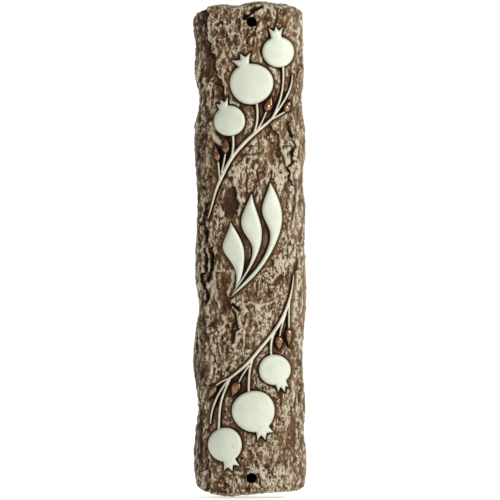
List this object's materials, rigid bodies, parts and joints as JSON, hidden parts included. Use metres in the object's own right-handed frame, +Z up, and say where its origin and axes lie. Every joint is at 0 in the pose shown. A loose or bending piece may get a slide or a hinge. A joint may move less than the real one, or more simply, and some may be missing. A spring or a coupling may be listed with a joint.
{
  "type": "mezuzah case",
  "caption": "Mezuzah case: long domed stone-look shell with raised pomegranate branches and flames, a back-loaded scroll cavity, a cover and end screw holes.",
  "frame": {"origin": "on the flat back face, midway between the two screw holes", "axes": "+Z up along the case's length, +Y out of the flat back towards the wall, decorated front faces -Y, +X to the right seen from the front"},
  "size_m": [0.0412, 0.0205, 0.1809],
  "materials": {
    "stone_resin": "cast resin with a rough stone texture, brown wash in the hollows and cream dry-brushing on the high spots",
    "cream_enamel": "satin ivory paint on cast resin",
    "copper_paint": "metallic copper paint on cast resin",
    "cover_plastic": "fine moulded grain",
    "parchment": "matt rolled parchment",
    "clear_film": "thin clear wrapping film"
  },
  "bodies": {
    "case": {"case_shell": "stone_resin", "pomegranate_upper_right": "cream_enamel", "pomegranate_upper_middle": "cream_enamel", "pomegranate_upper_left": "cream_enamel", "pomegranate_lower_right": "cream_enamel", "pomegranate_lower_middle": "cream_enamel", "pomegranate_lower_left": "cream_enamel", "flame_left": "cream_enamel", "flame_middle": "cream_enamel", "flame_right": "cream_enamel", "upper_branch": "cream_enamel", "lower_branch": "cream_enamel", "bud_upper_1": "copper_paint", "bud_upper_2": "copper_paint", "bud_upper_3": "copper_paint", "bud_upper_4": "copper_paint", "bud_lower_1": "copper_paint", "bud_lower_2": "copper_paint", "bud_lower_3": "copper_paint", "bud_lower_4": "copper_paint"},
    "cover": {"back_cover": "cover_plastic"},
    "scroll": {"parchment_scroll": "parchment", "scroll_sleeve": "clear_film"}
  },
  "joints": [
    {"name": "cover_lift", "type": "slide", "parent": "case", "child": "cover", "axis": [0, 1, 0], "range_m": [0, 0.06]},
    {"name": "scroll_lift", "type": "slide", "parent": "case", "child": "scroll", "axis": [0, 1, 0], "range_m": [0, 0.03]}
  ],
  "couplings": [
    {"joint": "scroll_lift", "follows": "cover_lift", "ratio": 0.5}
  ]
}
